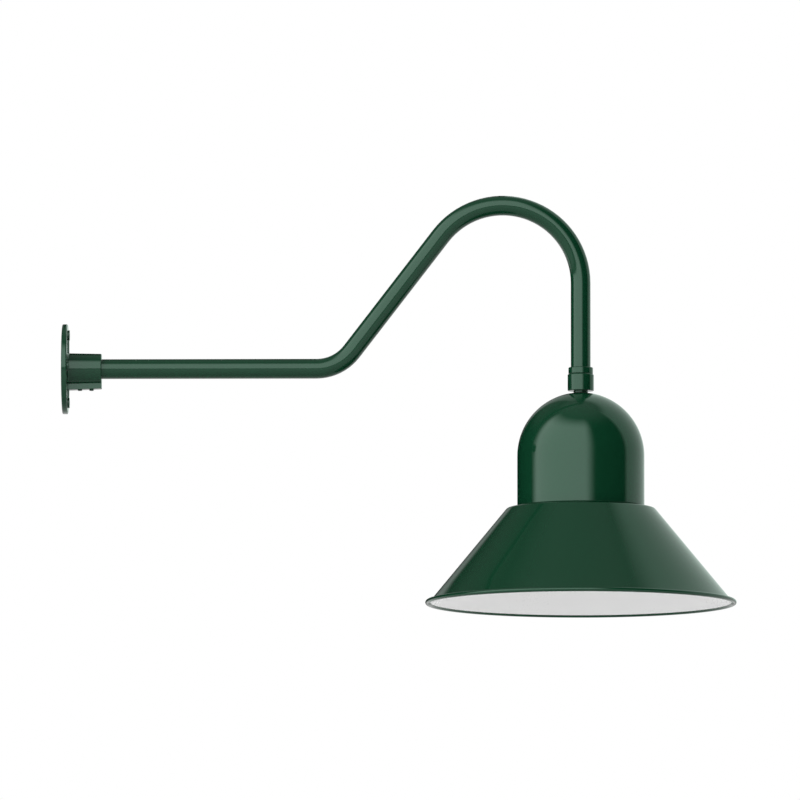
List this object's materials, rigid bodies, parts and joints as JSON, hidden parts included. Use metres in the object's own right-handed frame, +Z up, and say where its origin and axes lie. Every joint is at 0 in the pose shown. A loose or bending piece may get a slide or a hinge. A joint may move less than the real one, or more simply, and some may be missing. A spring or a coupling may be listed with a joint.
{
  "type": "gooseneck wall sconce",
  "caption": "Wall lamp with a round flange, a bent gooseneck arm and a domed conical shade open below, for a screw-in bulb.",
  "frame": {"origin": "centre of the flange's rear face, on the axis of the arm's level run", "axes": "+X out of the wall along the arm, +Z up, +Y to the left for someone looking out from the wall"},
  "size_m": [0.8807, 0.4064, 0.5367],
  "materials": {
    "green_coat": "gloss powder coat, smooth",
    "black_rubber": "matt moulded rubber",
    "screw_steel": "zinc plated, turned",
    "plated_steel": "zinc plated sheet and pipe",
    "earth_green": "green dyed zinc",
    "white_nylon": "moulded nylon",
    "porcelain": "white glaze",
    "shell_metal": "nickel plated brass, pressed",
    "terminal_brass": "bright brass",
    "lead_black": "extruded insulation",
    "lead_white": "extruded insulation",
    "lead_green": "extruded insulation"
  },
  "bodies": {
    "wall_mount": {"wall_flange": "green_coat", "flange_gasket": "black_rubber", "hub_lock_screws": "screw_steel", "hub_seal": "black_rubber", "earth_screw": "earth_green"},
    "arm": {"gooseneck_arm": "green_coat", "arm_sleeve": "white_nylon", "arm_ferrule": "green_coat", "arm_lead_black": "lead_black", "arm_lead_white": "lead_white", "arm_lead_green": "lead_green"},
    "shade": {"shade_coupling": "green_coat", "coupling_grip_screws": "screw_steel", "neck_gasket": "black_rubber", "pipe_nipple": "plated_steel", "dome_housing": "green_coat", "dome_washer": "plated_steel", "pipe_locknuts": "plated_steel", "ring_gasket": "black_rubber", "shade_cone": "green_coat", "shade_screws": "screw_steel", "shade_nuts": "screw_steel", "holder_bracket": "plated_steel", "bracket_earth_screw": "earth_green", "holder_screws": "screw_steel", "lamp_holder": "porcelain", "lamp_shell": "shell_metal", "holder_rivets": "terminal_brass", "terminal_plates": "terminal_brass", "terminal_screws": "terminal_brass", "holder_lead_black": "lead_black", "holder_lead_white": "lead_white", "holder_lead_green": "lead_green"},
    "contact": {"lamp_contact": "terminal_brass"}
  },
  "joints": [
    {"name": "arm_swivel", "type": "hinge", "parent": "wall_mount", "child": "arm", "pos_m": [0, 0, 0], "axis": [1, 0, 0], "range_deg": [-90, 90]},
    {"name": "shade_turn", "type": "hinge", "parent": "arm", "child": "shade", "pos_m": [0.6775, 0, 0], "axis": [0, 0, 1], "range_deg": [-180, 180]},
    {"name": "contact_flex", "type": "hinge", "parent": "shade", "child": "contact", "pos_m": [0.6775, 0.0076, -0.1316], "axis": [-1, 0, 0], "range_deg": [0, 8], "stiffness_Nm_per_rad": 0.05}
  ]
}
